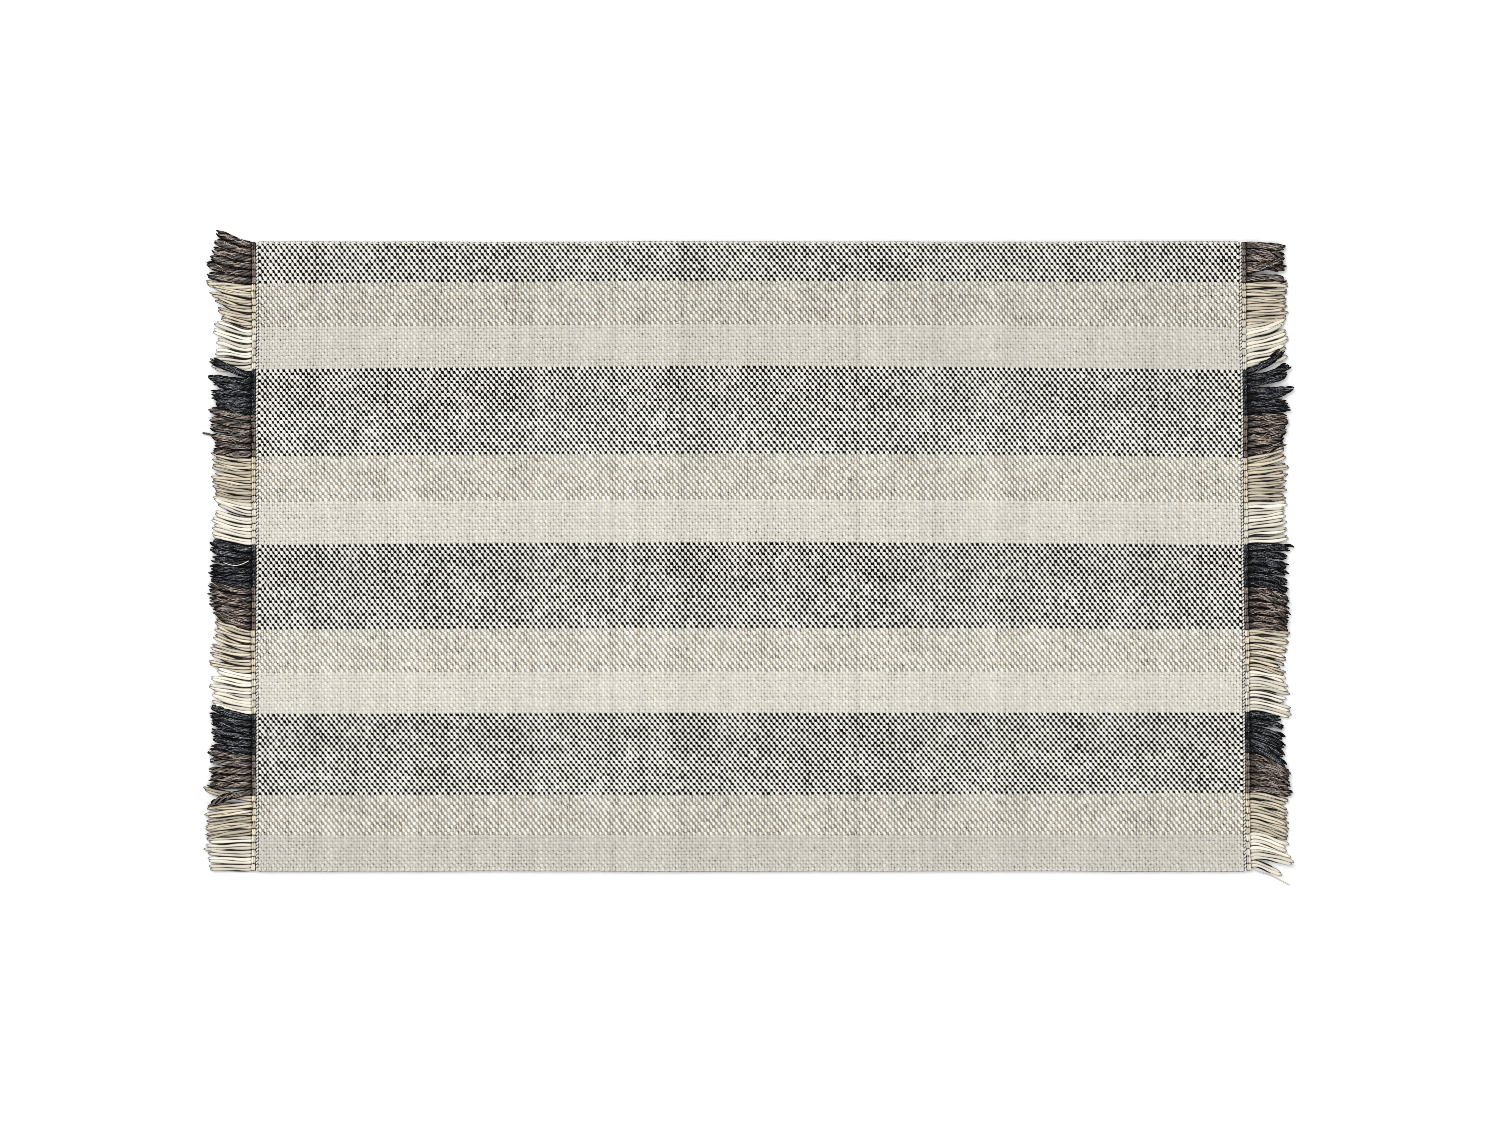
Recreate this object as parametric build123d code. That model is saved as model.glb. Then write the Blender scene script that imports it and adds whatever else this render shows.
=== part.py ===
from build123d import *
import math
import os

# A small flat-woven rug: striped plain-weave cloth with a knotted edge and a corded fringe at each end.
# Millimetres. +X runs along the stripes, +Y across them and +Z up.
# The origin is the middle of the underside, on the floor.

# Driving dimensions of the cloth
HALF_CLOTH = 548.0          # middle of the rug to the inner side of a knotted edge
CLOTH_THICKNESS = 5.6       # one warp yarn over one weft yarn, slightly flattened
END_PITCH = 3.6             # spacing of the warp ends, across the rug
HEADER_WIDTH = 3.0          # the last picks, beaten tightly together at each end
HEADER_HEIGHT = 5.0
SELVEDGE_WIDTH = 1.5        # weft turning round the outermost warp end
SELVEDGE_HEIGHT = 4.4

# Warp stripes from the +Y edge to the -Y edge: colour, and width across the rug
STRIPES = [
    ("taupe", 44.5), ("beige", 48.0), ("cream", 46.0),
    ("charcoal", 50.0), ("taupe", 47.5), ("beige", 50.5), ("cream", 47.5),
    ("charcoal", 47.5), ("taupe", 48.0), ("beige", 48.0), ("cream", 46.0),
    ("charcoal", 45.5), ("taupe", 45.5), ("beige", 44.5), ("cream", 41.0),
]
CLOTH_WIDTH = sum(width for _, width in STRIPES)

# Knotted edge and fringe: two warp ends make one knot and one cord
ENDS_PER_CORD = 2
KNOT_LENGTH = 7.2
KNOT_ROUNDING = 1.2
KNOT_SPACING = 0.4          # between one knot and the next
CORD_LENGTH = 44.5          # the longest cords, from the hinge gap to the tip
CORD_UNEVENNESS = 4.0       # how much shorter the shortest cords are
CORD_HEIGHT = 5.6
CORD_MERGE = 0.3            # neighbouring cords press into each other by this much

# Clearances
HINGE_GAP = 0.3             # between two bodies that turn on each other
FLOOR_CLEARANCE = 0.3       # under the knots, which do not carry the rug

# How far one end reaches: cloth, knots, hinge gap and fringe
KNOT_START = HALF_CLOTH
FRINGE_START = KNOT_START + KNOT_LENGTH + HINGE_GAP
HALF_LENGTH = FRINGE_START + CORD_LENGTH

ENDS = {"left": -1, "right": 1}


def block(x_near, x_far, y_low, y_high, z_low, z_high, side):
    """A rectangular solid given as distances from the middle of the rug, on one side of it."""
    size_x = x_far - x_near
    middle = side * (x_near + x_far) / 2
    place = Pos(middle, (y_low + y_high) / 2, (z_low + z_high) / 2)
    return place * Box(size_x, y_high - y_low, z_high - z_low)


def stripe_spans():
    """The low and high Y of each stripe, from the +Y edge to the -Y edge."""
    spans = []
    y_high = CLOTH_WIDTH / 2
    for colour, width in STRIPES:
        spans.append((colour, y_high - width, y_high))
        y_high -= width
    return spans


def cord_places(y_low, y_high):
    """The middle Y of each cord of one stripe, and the pitch between them."""
    warp_ends = round((y_high - y_low) / END_PITCH)
    count = warp_ends // ENDS_PER_CORD
    pitch = (y_high - y_low) / count
    return [y_high - pitch * (index + 0.5) for index in range(count)], pitch


def stripe(y_low, y_high, side):
    """Half the length of one stripe of cloth, without the selvedge at the outer edges."""
    edge = CLOTH_WIDTH / 2 - SELVEDGE_WIDTH
    return block(HINGE_GAP / 2, HALF_CLOTH - HEADER_WIDTH, max(y_low, -edge), min(y_high, edge),
                 0, CLOTH_THICKNESS, side)


def header(side):
    """The last picks at one end, beaten together into a firm cord across the cloth."""
    edge = CLOTH_WIDTH / 2 - SELVEDGE_WIDTH
    lift = (CLOTH_THICKNESS - HEADER_HEIGHT) / 2
    return block(HALF_CLOTH - HEADER_WIDTH, HALF_CLOTH, -edge, edge, lift, lift + HEADER_HEIGHT, side)


def selvedge(edge_sign, side):
    """Weft turns along half of one long edge, rounded on the outside."""
    outer = CLOTH_WIDTH / 2
    lift = (CLOTH_THICKNESS - SELVEDGE_HEIGHT) / 2
    y_low, y_high = sorted((edge_sign * (outer - SELVEDGE_WIDTH), edge_sign * outer))
    bar = block(HINGE_GAP / 2, HALF_CLOTH, y_low, y_high, lift, lift + SELVEDGE_HEIGHT, side)
    outer_edges = bar.edges().filter_by(Axis.X).group_by(Axis.Y)[-1 if edge_sign > 0 else 0]
    return fillet(outer_edges, SELVEDGE_WIDTH * 0.8)


def knots(colour, side):
    """One rounded knot for each cord of the stripes of one colour."""
    made = []
    for stripe_colour, y_low, y_high in stripe_spans():
        if stripe_colour != colour:
            continue
        middles, pitch = cord_places(y_low, y_high)
        half_width = (pitch - KNOT_SPACING) / 2
        for middle in middles:
            knot = block(KNOT_START, KNOT_START + KNOT_LENGTH, middle - half_width, middle + half_width,
                         FLOOR_CLEARANCE, CLOTH_THICKNESS, side)
            made.append(fillet(knot.edges().filter_by(Axis.X), KNOT_ROUNDING))
    return made


def cord_length(index):
    """Hand-trimmed lengths: neighbours differ a little, and some reach the full length."""
    return CORD_LENGTH - CORD_UNEVENNESS * (0.5 + 0.5 * math.sin(index * 2.5)) * (index % 3) / 2


def cord_bundle(y_low, y_high, side):
    """The cords of one stripe, side by side, as one ribbed mat with uneven tips."""
    middles, pitch = cord_places(y_low, y_high)
    bundle = None
    for index, middle in enumerate(middles):
        length = cord_length(index)
        section = SlotOverall(pitch + CORD_MERGE, CORD_HEIGHT)
        cord = extrude(Plane.YZ * section, length)
        x_low = FRINGE_START if side > 0 else -FRINGE_START - length
        cord = Pos(x_low, middle, CORD_HEIGHT / 2) * cord
        bundle = cord if bundle is None else bundle + cord
    # The outermost cords stop at the stripe's own edges, clear of the next stripe's bundle.
    return bundle & block(FRINGE_START, HALF_LENGTH, y_low + CORD_MERGE / 4, y_high - CORD_MERGE / 4,
                          0, CORD_HEIGHT, side)


def fringe(colour, side):
    """The fringe bundles of the stripes of one colour, at one end."""
    return [cord_bundle(y_low, y_high, side)
            for stripe_colour, y_low, y_high in stripe_spans() if stripe_colour == colour]


def all_parts():
    """Every sub-part by name."""
    parts = {}
    colours = sorted({colour for colour, _ in STRIPES})
    for end_name, side in ENDS.items():
        for number, (colour, y_low, y_high) in enumerate(stripe_spans(), start=1):
            parts[f"stripe_{number:02d}_{colour}_{end_name}"] = stripe(y_low, y_high, side)
        parts[f"selvedge_back_{end_name}"] = selvedge(1, side)
        parts[f"selvedge_front_{end_name}"] = selvedge(-1, side)
        parts[f"header_picks_{end_name}"] = header(side)
        for colour in colours:
            parts[f"knots_{colour}_{end_name}"] = Compound(children=knots(colour, side))
            parts[f"fringe_{colour}_{end_name}"] = Compound(children=fringe(colour, side))
    return parts


def main():
    os.makedirs("parts", exist_ok=True)
    for name, shape in all_parts().items():
        export_step(shape, f"parts/{name}.step")
    print(f"overall {2 * HALF_LENGTH:.1f} x {CLOTH_WIDTH:.1f} x {CLOTH_THICKNESS:.1f} mm")


main()
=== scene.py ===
import math

import bpy
import numpy as np
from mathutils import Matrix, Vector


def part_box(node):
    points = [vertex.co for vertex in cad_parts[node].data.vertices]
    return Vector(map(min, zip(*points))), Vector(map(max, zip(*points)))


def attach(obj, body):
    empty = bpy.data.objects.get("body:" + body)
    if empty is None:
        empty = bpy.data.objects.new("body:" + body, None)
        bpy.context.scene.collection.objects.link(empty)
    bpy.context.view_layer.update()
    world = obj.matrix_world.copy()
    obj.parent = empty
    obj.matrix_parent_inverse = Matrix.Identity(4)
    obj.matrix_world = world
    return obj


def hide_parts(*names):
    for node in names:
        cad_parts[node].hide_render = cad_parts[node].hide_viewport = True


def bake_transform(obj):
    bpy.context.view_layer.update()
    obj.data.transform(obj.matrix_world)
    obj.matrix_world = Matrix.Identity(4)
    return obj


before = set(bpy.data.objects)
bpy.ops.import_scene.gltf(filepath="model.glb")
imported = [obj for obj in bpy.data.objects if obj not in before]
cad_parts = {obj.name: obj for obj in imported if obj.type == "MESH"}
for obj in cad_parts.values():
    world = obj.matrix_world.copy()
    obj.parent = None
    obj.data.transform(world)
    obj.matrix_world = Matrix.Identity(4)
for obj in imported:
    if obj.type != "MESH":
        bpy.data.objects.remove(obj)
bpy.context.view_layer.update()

# The rug is built yarn by yarn: warp ends along X in coloured stripes, one cream weft along Y,
# a twined header and a row of knots at each end, and a fringe of twisted cords.
# Sizes are in millimetres and become metres when a mesh is made.
MM = 0.001
SEED = 70120

# Cloth
END_PITCH = 3.6            # aimed spacing of warp ends
PICK_PITCH = 3.07          # aimed spacing of weft picks
SHOULDER = 0.27            # a float is level this share of the spacing each side of its middle
WEFT_RISE = {"taupe": 1.4, "charcoal": 1.4, "beige": 1.3, "cream": 1.15}    # height of a weft float
WARP_RISE = 0.8
WEFT_YARN = (1.94, 1.22)   # half width and half height of the yarn where it floats
WARP_YARN = (1.98, 1.2)    # measured to the corners of its square section
WEFT_SLANT, WARP_SLANT = 0.32, 0.26    # twist leans every float the same way
WEFT_SIDES, WARP_SIDES = 6, 4
WEFT_GROUPS = 13
WEFT_RIM = 0.42            # how much darker painted shade makes the flanks of a weft float than its top
CLOTH_DEPTH = 2.55         # from the middle of the cloth to the top of a weft float, where its painted light is full
FOLD_REACH = 9.0           # weft groups that come this near the fold's line are attached to neither half
TUCK = 1.5                 # warp and cords meet this far past the header, hidden by the knots

# Irregularity of the weave: a spread is a standard deviation
RISE_SPREAD, RISE_SPREAD_MOST = 0.08, 0.15    # height of a float, and the most it may stray
SIDEWAYS_SPREAD = 0.15     # how far a float lies out of line
PLUMP_SPREAD = 0.11        # width of a float, as a share
END_SPREAD = 0.07          # how far a whole warp end lies out of line
END_TONE_SPREAD = 0.35     # tone from end to end
END_TONE_WAVE = (0.3, 90)  # tone along each end, and over what length it changes

# How far the finished rug is from square and flat: the most, and over what length it changes
RIGHT_SKEW = 2.6
EDGE_WANDER = (0.5, 520)
END_WANDER = (0.6, 260)
SWELL = (0.35, 430, 310)   # the last two are along the rug and across it

# How far the stripes bow towards -Y at each end of the rug: Y, and the bow there
STRIPE_BOW = {
    "left": [(-350, 0), (-265, 0.3), (-175, 1.2), (-80, 2.0), (15, 3.1),
             (110, 3.4), (210, 4.2), (258, 3.2), (305, 3.1), (350, 0)],
    "right": [(-350, 0), (-265, -2.3), (-175, -0.6), (-80, 1.6), (15, 3.2),
              (110, 4.5), (210, 4.9), (258, 3.2), (305, 1.9), (350, 0)],
}

# Turns of the weft along the long edges
TURN_START = 0.1           # they start this share of the end spacing outside the outermost warp end
TURN_BULGE, TURN_BULGE_SPREAD = 1.15, 0.12
TURN_OVERLAP = 1.3         # half a turn along the edge, in halves of the distance between its two picks
TURN_LIFT, TURN_SLOPE = 0.85, 0.4    # height over the middle of the cloth, and the fall from pick to pick
# Half thickness of a turn, the depth of its painted shade, a tone that paints it darker than the weft in the
# cloth, and the painted shade of its flanks
TURN_HALF, TURN_DEPTH, TURN_TONE, TURN_RIM = 1.5, 2.45, -2.5, 0.4

# The two twined wefts of a header: radius along and up, half thickness, the depth of their painted shade, a
# tone that paints them darker than the weft in the cloth, and the painted shade of their flanks
HEADER_RADII = (0.75, 1.4)
HEADER_HALF, HEADER_DEPTH, HEADER_TONE, HEADER_RIM = 1.25, 2.1, -1, 0.5
HEADER_STEPS = 4           # rings for each warp end that they pass
HEADER_TONE_WAVE = (0.4, 60)

# Knotted edge
KNOT_OFFSET = 2.3          # from the header to the middle of a knot
KNOT_SPREAD = 0.2          # how far knots lie out of line, and lean
KNOT_REACH = 0.475         # half a knot, as a share of the spacing of the cords
KNOT_LIFT, KNOT_DIVE = 1.3, 2.0      # height over the middle of the cloth, and how far its ends tuck under
# The strands' radius from the knot's middle, their half thickness, and the depth over which their flanks are
# painted dark as shade
STRAND_RADIUS, STRAND_HALF, STRAND_DEPTH = 1.1, 1.42, 1.1
STRAND_TURN, STRAND_TURN_SPREAD, STRAND_TWIST = 0.15, 0.25, 0.35    # radians
STRAND_LIFT = 0.5          # how much one strand lies above the other as they twist

# Fringe
ENDS_PER_CORD = 2
CORD_SIDES = 8
RING_STEP = 2.0            # spacing of the rings along a cord's plies
CORD_FLATNESS = 0.78       # cords lie a little flattened

# One kind of cord for each colour: plies, half thickness of a ply, radius of the twist, and the length of
# a turn, or 0 for plies that lie side by side and only roll to and fro
CORD_KINDS = {
    "taupe": (5, 1.45, 2.5, 38.0),
    "charcoal": (5, 1.45, 2.5, 38.0),
    "beige": (3, 1.85, 2.15, 120.0),
    "cream": (2, 2.0, 1.8, 0),
}
# Tone of the knotted edge, and how much it varies from strand to strand. For the dark colours it paints the
# strands lighter than their cords, as painted highlight
KNOT_TONE_AND_HIGHLIGHT = {"taupe": (3, 3), "charcoal": (4, 4), "beige": (0.5, 1.5), "cream": (-0.8, 1.2)}
# Pale fibres along each dark cord, partly the yarn's own fibres and partly painted highlight on its top: how
# many, and the tone of the brightest
GLINTS = {"taupe": (11, 45), "charcoal": (13, 130)}
# How each stripe's cords lie, from the +Y edge: drift of the tips towards +Y for the first, middle and
# last cord, swing towards +Y near the knots, and reach of the first and last cord beyond the knots
CORD_LAY = {
    "left": [(15, 10, 6, 0, 35, 48), (5.5, 11, 8, -1, 46, 32), (11, 3, -2.5, -4.5, 38, 40),
             (2, 0, 5, -1.5, 45, 36), (9, 5, 3, -1, 43, 38), (9.5, 6.5, 6, -1.5, 42, 38),
             (10, 9, 8, -2, 39, 41), (9.5, 3, 4, -2, 42, 43), (6.5, 6.5, 13, -1, 44, 39),
             (15, 11.5, 6.5, -1, 39, 42), (9, 6, 9, -2.5, 38, 40), (12.5, 10, 5, 0, 44, 40),
             (8, 1, 1.5, 0, 43, 44), (-3, -3.5, -4, 0, 45, 49), (-1.5, 0.5, 0, -1, 48, 44)],
    "right": [(-3.5, -2, 1, 1, 41, 39), (1, 3.5, 8, 1, 45, 41), (13.5, 14, 13, 3, 42, 41),
              (24, 8, 3.5, 1.5, 38, 44), (2, 10, 12, 1.5, 41, 38), (15, 8, 3, 1, 39, 39),
              (3, 8, 4, 1.5, 40, 42), (0, -3.5, -9, 2, 41, 41), (-9.5, -5, -4, 2, 42, 41),
              (-1.5, -5, -5.5, 2, 42, 37), (-5.5, -6, -9.5, 3, 39, 41), (-4, -11, -19, 1.5, 34, 38),
              (-17, -9, -5.5, 1, 39, 43), (-6, -9, -8.5, 1.5, 39, 38), (-10, -8, -5, 4.5, 36, 40)],
}
# Cords that lie out of line: end, stripe and cord give drift, lift over the neighbours, change of length
STRAY_CORDS = {
    ("left", 4, 0): (13.5, 4.5, -6), ("left", 13, 5): (-13, 4.0, 0), ("left", 14, 0): (11.5, 0, 4),
    ("right", 1, 4): (13, 4.0, -2), ("right", 4, 0): (24, 0.4, 0), ("right", 4, 1): (15, 0.2, 6),
    ("right", 4, 3): (4, 0.6, 7), ("right", 15, 3): (-4, 3.0, 3), ("right", 15, 4): (-9, 1.0, -10),
}

# Single loose yarns: colour, end, half thickness, tone, and the points they pass through
LOOSE_YARNS = [
    ("cream", "left", 0.5, 2, [(-556, -2, 7), (-561, -4.6, 7.4), (-567, -6.9, 7.3),
                               (-573, -7.2, 7), (-579, -5.8, 6.8), (-584, -4, 6)]),
    ("taupe", "left", 1.25, -3, [(-584, 136, 4), (-590, 137, 3), (-596, 138.2, 2),
                                 (-602, 140, 1.5), (-607, 140.5, 1.3)]),
    ("cream", "right", 0.7, -1, [(553, -346, 4), (562, -350, 2), (574, -353.5, 1),
                                 (584, -359, 0.9), (595, -365, 0.9)]),
]

# Yarn colours as linear RGB, the colour of the fibres that show in them, how strongly those show, and
# how deep the grooves between the yarn's own plies are, which also sets how dark painted shade makes them
YARNS = {
    "charcoal": ((0.009, 0.0095, 0.012), (0.40, 0.41, 0.44), 0.55, 0.45),
    "taupe": ((0.122, 0.097, 0.084), (0.50, 0.45, 0.42), 0.6, 0.4),
    "beige": ((0.60, 0.525, 0.405), (0.78, 0.72, 0.62), 0.4, 0.12),
    "cream": ((0.735, 0.685, 0.58), (0.86, 0.83, 0.76), 0.35, 0.08),
    "weft": ((0.882, 0.853, 0.79), (0.93, 0.915, 0.88), 0.35, 0.12),
}
# Painted light and shade: how bright each yarn is painted where it is woven, beside its brightness as a
# twisted cord. The dark warp is painted near black, as shade in the hollows of the cloth, and the pale yarns
# lighter
WOVEN_SHADE = {"charcoal": 0.02, "taupe": 0.035, "beige": 1.66, "cream": 1.46, "weft": 1.12}
# Painted light that still reaches the hollows in stripes of each colour, and the painted light on the weft
# there
HOLLOW_LIGHT = {"charcoal": 0.0, "taupe": 0.0, "beige": 0.12, "cream": 0.64}
WEFT_LIGHT = {"charcoal": 0.95, "taupe": 1.0, "beige": 1.0, "cream": 0.84}
EDGE_HOLLOW_LIGHT = 0.3    # the same for the weft at the selvedges
WARP_SHADE_UNDER_KNOTS = 0.15    # painted shade: the light painted on the warp beyond the header, under the knots
# Painted shade: the painted light at which a yarn is at its darkest, and the light at which it has its full
# colour
HOLLOW_START = {"charcoal": 0.2, "taupe": 0.2, "beige": 0.3, "cream": 0.2, "weft": 0.18}
HOLLOW_END = 0.98
CORD_HOLLOW = {"charcoal": (0.33, 0.98), "taupe": (0.33, 0.98), "beige": (0.28, 0.95), "cream": (0.18, 0.88)}
DARKEST = 0.03             # what painted shade leaves of the colour in the deepest hollows
TONE_STEP = 0.12           # one unit of tone makes a yarn this much lighter
# Tone given to single stripes, which makes them a little darker or lighter than others of their colour: number
# and tone. The darkening of the outermost stripes is painted shade, for light that falls off towards the long
# edges
STRIPE_SHADE_AND_TONE = {1: -0.5, 2: -0.65, 3: -0.65, 5: 0.45, 8: -0.25, 10: 0.3,
               11: 0.2, 12: -0.25, 13: -0.1, 14: -0.25, 15: -1.0}

# Camera and picture
PICTURE_WIDTH = 1665.5     # millimetres across the whole picture, at the rug
LENS, SENSOR = 85.0, 36.0
CAMERA_DROP = 6.7          # the rug lies a little above the middle of the picture
SKY_STRENGTH = 0.6
LAMPS = (("key", (-2.6, 2.8, 4.4), 4.0, 245), ("fill", (3.0, -2.6, 3.6), 3.0, 85))    # place, size, power
FLOOR_REACH, FLOOR_DROP = 6.0, 0.0004
PIXEL_FILTER = 0.7         # the photograph is sharp from yarn to yarn


# ---------------------------------------------------------------- places from the frame

def node_box(name):
    """A CAD node's lowest and highest corners, in millimetres."""
    low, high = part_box(name)
    return [value / MM for value in low], [value / MM for value in high]


def stripe_list():
    """Each stripe's number, colour, low Y and high Y, from the +Y edge."""
    found = []
    for name in sorted(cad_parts):
        words = name.split("_")
        if words[0] == "stripe" and words[-1] == "left":
            low, high = node_box(name)
            found.append((int(words[1]), words[2], low[1], high[1]))
    return found


STRIPES = stripe_list()
CLOTH_MIDDLE = sum(node_box("stripe_01_taupe_left")[i][2] for i in (0, 1)) / 2
HEADER_INNER, HEADER_OUTER = (node_box("header_picks_right")[i][0] for i in (0, 1))
KNOT_OUTER = node_box("knots_taupe_right")[1][0]
HALF_WIDTH = node_box("selvedge_back_left")[1][1]


# ---------------------------------------------------------------- irregularity

HARMONICS = ((1.0, 0.5), (1.93, 0.3), (4.1, 0.2))    # frequency and share of each sine in waves()


def waves(values, length, seed):
    """Smooth noise of about -1 to 1 that changes over the given length."""
    draw = np.random.default_rng(seed)
    total = np.zeros_like(values, dtype=float)
    for step, share in HARMONICS:
        total += share * np.sin(values * (2 * math.pi * step / length) + draw.uniform(0, 2 * math.pi))
    return total


def settle(points):
    """Moves points as the finished rug lies: a little out of square, its stripes bowed, and not quite flat."""
    x, y, z = points[..., 0], points[..., 1], points[..., 2]
    right_skew = RIGHT_SKEW * np.clip(x / HEADER_OUTER, 0, 1.1) ** 2 * (-y / HALF_WIDTH)
    bow = np.where(x < 0, np.interp(y, *zip(*STRIPE_BOW["left"])), np.interp(y, *zip(*STRIPE_BOW["right"])))
    bow = bow * np.clip(np.abs(x) / HEADER_OUTER, 0, 1) ** 1.5
    edge = (y / HALF_WIDTH) ** 3
    wander = EDGE_WANDER[0] * edge * waves(x, EDGE_WANDER[1], SEED + 1)
    end_wander = END_WANDER[0] * (x / HEADER_OUTER) ** 3 * waves(y, END_WANDER[1], SEED + 2)
    height, along, across = SWELL
    swell = height * (1 + waves(x, along, SEED + 3)) * (1 + waves(y, across, SEED + 4)) / 2
    return np.stack([x + right_skew + end_wander, y + wander - bow, z + swell], axis=-1)


# ---------------------------------------------------------------- tubes and pieces

def tubes(paths, half_wide, half_tall, sides, tone, middle, depth, shade=1.0, start=0.0, rim=0.0,
          least=0.0):
    """Closed tubes along many paths at once. paths is yarns x rings x 3 and the rest is yarns x rings.
    middle and depth are the height of the work's middle and how far it reaches from there. Light is painted
    into the colour: a yarn is painted fully lit at its top and underside, and dark with painted shade where it
    dives between its neighbours. rim is how much darker painted shade makes its own flanks, and least is the
    painted light that still reaches the hollows.
    Returns vertices, quads, corner UVs (length along in cm, share of the way round), tones and light."""
    yarns, rings, _ = paths.shape
    tangent = np.gradient(paths, axis=1)
    tangent /= np.linalg.norm(tangent, axis=2, keepdims=True)
    up = np.array([0.0, 0.0, 1.0]) - tangent * tangent[..., 2:3]
    up /= np.linalg.norm(up, axis=2, keepdims=True)
    across = np.cross(tangent, up)
    angle = (np.arange(sides) + 0.5) * 2 * math.pi / sides
    round_it = (across[:, :, None] * (np.cos(angle)[:, None] * half_wide[:, :, None, None])
                + up[:, :, None] * (np.sin(angle)[:, None] * half_tall[:, :, None, None]))
    points = paths[:, :, None] + round_it
    # Painted light: the colour is darkened as shade the nearer a point lies to the work's middle and on the
    # yarn's own flanks, but not below least
    from_middle = np.abs(points[..., 2] - np.broadcast_to(middle, (yarns, rings))[..., None])
    light = from_middle / depth * np.broadcast_to(shade, (yarns, rings))[..., None]
    light = light * (1 - rim * (1 - np.abs(np.sin(angle))))
    light = np.maximum(light, np.broadcast_to(least, (yarns, rings))[..., None])

    index = np.arange(yarns * rings * sides).reshape(yarns, rings, sides)
    turned = np.roll(index, -1, axis=2)
    walls = np.stack([index[:, :-1], index[:, 1:], turned[:, 1:], turned[:, :-1]], axis=-1)
    pairs = range(1, sides - 1, 2)
    first = np.stack([index[:, 0][:, [0, k, k + 1, k + 2]] for k in pairs], axis=1)
    last = np.stack([index[:, -1][:, [0, k + 2, k + 1, k]] for k in pairs], axis=1)
    quads = np.concatenate([walls.reshape(-1, 4), first.reshape(-1, 4), last.reshape(-1, 4)])

    steps = np.linalg.norm(np.diff(paths, axis=1), axis=2)
    along = np.concatenate([np.zeros((yarns, 1)), np.cumsum(steps, axis=1)], axis=1) * 0.1
    along = along + np.broadcast_to(start, yarns)[:, None]
    u_wall = np.stack([along[:, :-1], along[:, 1:], along[:, 1:], along[:, :-1]], axis=-1)
    u_wall = np.repeat(u_wall[:, :, None], sides, axis=2)
    v_low = np.arange(sides) / sides
    v_high = v_low + 1 / sides
    v_wall = np.broadcast_to(np.stack([v_low, v_low, v_high, v_high], axis=-1), u_wall.shape)
    walls_uv = np.stack([u_wall, v_wall], axis=-1).reshape(-1, 2)
    caps = []
    for ring, order in ((0, (0, 1, 2, 3)), (-1, (0, 3, 2, 1))):
        v_cap = np.array([[(0, k, k + 1, k + 2)[n] / sides for n in order] for k in pairs])
        u_cap = np.broadcast_to(along[:, ring][:, None, None], (yarns, len(v_cap), 4))
        caps.append(np.stack([u_cap, np.broadcast_to(v_cap, u_cap.shape)], axis=-1).reshape(-1, 2))
    uv = np.concatenate([walls_uv, *caps])
    tones = np.repeat(np.broadcast_to(tone, (yarns, rings))[..., None], sides, axis=2).ravel()
    return points.reshape(-1, 3), quads, uv, tones, light.ravel()


def piece(name, parts, material):
    """One mesh object from tubes, with its material and material slot."""
    counts = np.cumsum([0] + [len(part[0]) for part in parts])
    points = settle(np.concatenate([part[0] for part in parts])) * MM
    quads = np.concatenate([part[1] + first for part, first in zip(parts, counts)])
    mesh = bpy.data.meshes.new(name)
    mesh.vertices.add(len(points))
    mesh.vertices.foreach_set("co", points.astype(np.float32).ravel())
    mesh.loops.add(quads.size)
    mesh.loops.foreach_set("vertex_index", quads.astype(np.int32).ravel())
    mesh.polygons.add(len(quads))
    mesh.polygons.foreach_set("loop_start", np.arange(0, quads.size, 4, dtype=np.int32))
    mesh.update(calc_edges=True)
    mesh.shade_smooth()
    layer = mesh.uv_layers.new(name="yarn")
    layer.data.foreach_set("uv", np.concatenate([part[2] for part in parts]).astype(np.float32).ravel())
    for title, column in (("tone", 3), ("light", 4)):
        values = np.concatenate([part[column] for part in parts])
        mesh.attributes.new(title, "FLOAT", "POINT").data.foreach_set("value", values.astype(np.float32))
    made = bpy.data.objects.new(name, mesh)
    bpy.context.scene.collection.objects.link(made)
    made.data.materials.append(material)
    return made


def bend_at_fold(made):
    """Cloth that crosses the middle of the rug is baked in place, attached to neither half."""
    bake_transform(made)


# ---------------------------------------------------------------- yarn materials

YARN_PLIES = 2             # plies of the yarn itself, which show as spiral grooves
WOVEN_TWIST, CORD_TWIST = 3.2, 3.0    # turns in a centimetre of yarn
GROOVE_POWER = 0.6         # below 1 the grooves are narrow and the plies round
FIBRE_STRETCH = (1.6, 4.0)    # how fine the fibres are along a yarn and across it
FIBRE_SCALE, FIBRE_DETAIL = 1.6, 4.0
FIBRE_RANGE = (0.52, 0.72)    # noise at which fibres begin to show, and show fully
RELIEF_STRENGTH, RELIEF_HEIGHT = 0.8, 0.5 * MM
FIBRE_RELIEF = 0.6
ROUGHNESS, GLOSS = 0.92, 0.1
CORD_SHEEN, SHEEN_ROUGHNESS = 0.03, 0.5


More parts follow.
